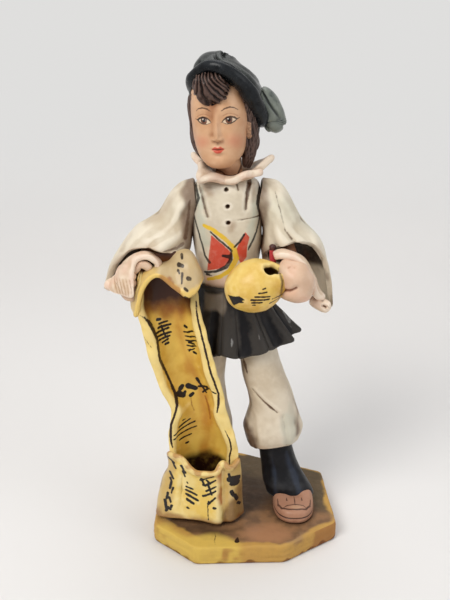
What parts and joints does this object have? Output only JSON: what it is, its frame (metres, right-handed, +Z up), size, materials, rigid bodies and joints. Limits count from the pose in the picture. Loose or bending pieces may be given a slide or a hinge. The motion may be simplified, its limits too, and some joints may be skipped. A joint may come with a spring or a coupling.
{
  "type": "clay figurine",
  "caption": "Hand-built painted clay figurine of a youth in folk dress with a tall open basket and a round jug, standing on a flat slab.",
  "frame": {"origin": "middle of the slab's flat underside, on the surface that the figurine stands on", "axes": "+Z up through the figure, -Y towards the viewer that the face looks at, +X towards the figure's left"},
  "size_m": [0.0959, 0.0805, 0.199],
  "materials": {
    "slab_earth": "matte brown clay with ochre edges",
    "shirt_cream": "cream paint rubbed with a brown wash, satin",
    "flesh": "peach paint with a brown wash, satin",
    "hair_brown": "dark brown paint, glossy",
    "cap_black": "black paint, glossy",
    "skirt_black": "black paint, semi-gloss, worn grey on its folds",
    "gaiter_black": "blue-black paint, semi-gloss",
    "shoe_tan": "pink-brown paint with black lines, satin",
    "basket_yellow": "yellow paint with dark hatching and an orange-brown wash, semi-gloss",
    "jug_yellow": "yellow paint with dark hatching, semi-gloss",
    "stick_red": "red paint with a black tip, semi-gloss"
  },
  "bodies": {
    "root": {"base_slab": "slab_earth", "left_gaiter": "gaiter_black", "right_gaiter": "gaiter_black", "left_shoe": "shoe_tan", "right_shoe": "shoe_tan", "left_trouser_leg": "shirt_cream", "right_trouser_leg": "shirt_cream", "hips": "shirt_cream", "trunk": "shirt_cream", "skirt": "skirt_black", "neck": "flesh", "head": "flesh", "hair_back": "hair_brown", "hair_fringe": "hair_brown", "hair_left_lock": "hair_brown", "hair_right_lock": "hair_brown", "cap_band": "cap_black", "cap_crown": "cap_black", "cap_tail": "cap_black", "collar_frill": "shirt_cream", "jug": "jug_yellow", "red_stick": "stick_red", "basket_wall": "basket_yellow", "basket_pocket": "basket_yellow", "basket_hood": "basket_yellow", "right_arm": "flesh", "left_arm": "flesh", "right_hand": "flesh", "left_hand": "flesh", "right_cuff": "shirt_cream", "left_cuff": "shirt_cream", "right_sleeve": "shirt_cream", "left_sleeve": "shirt_cream"}
  },
  "joints": []
}
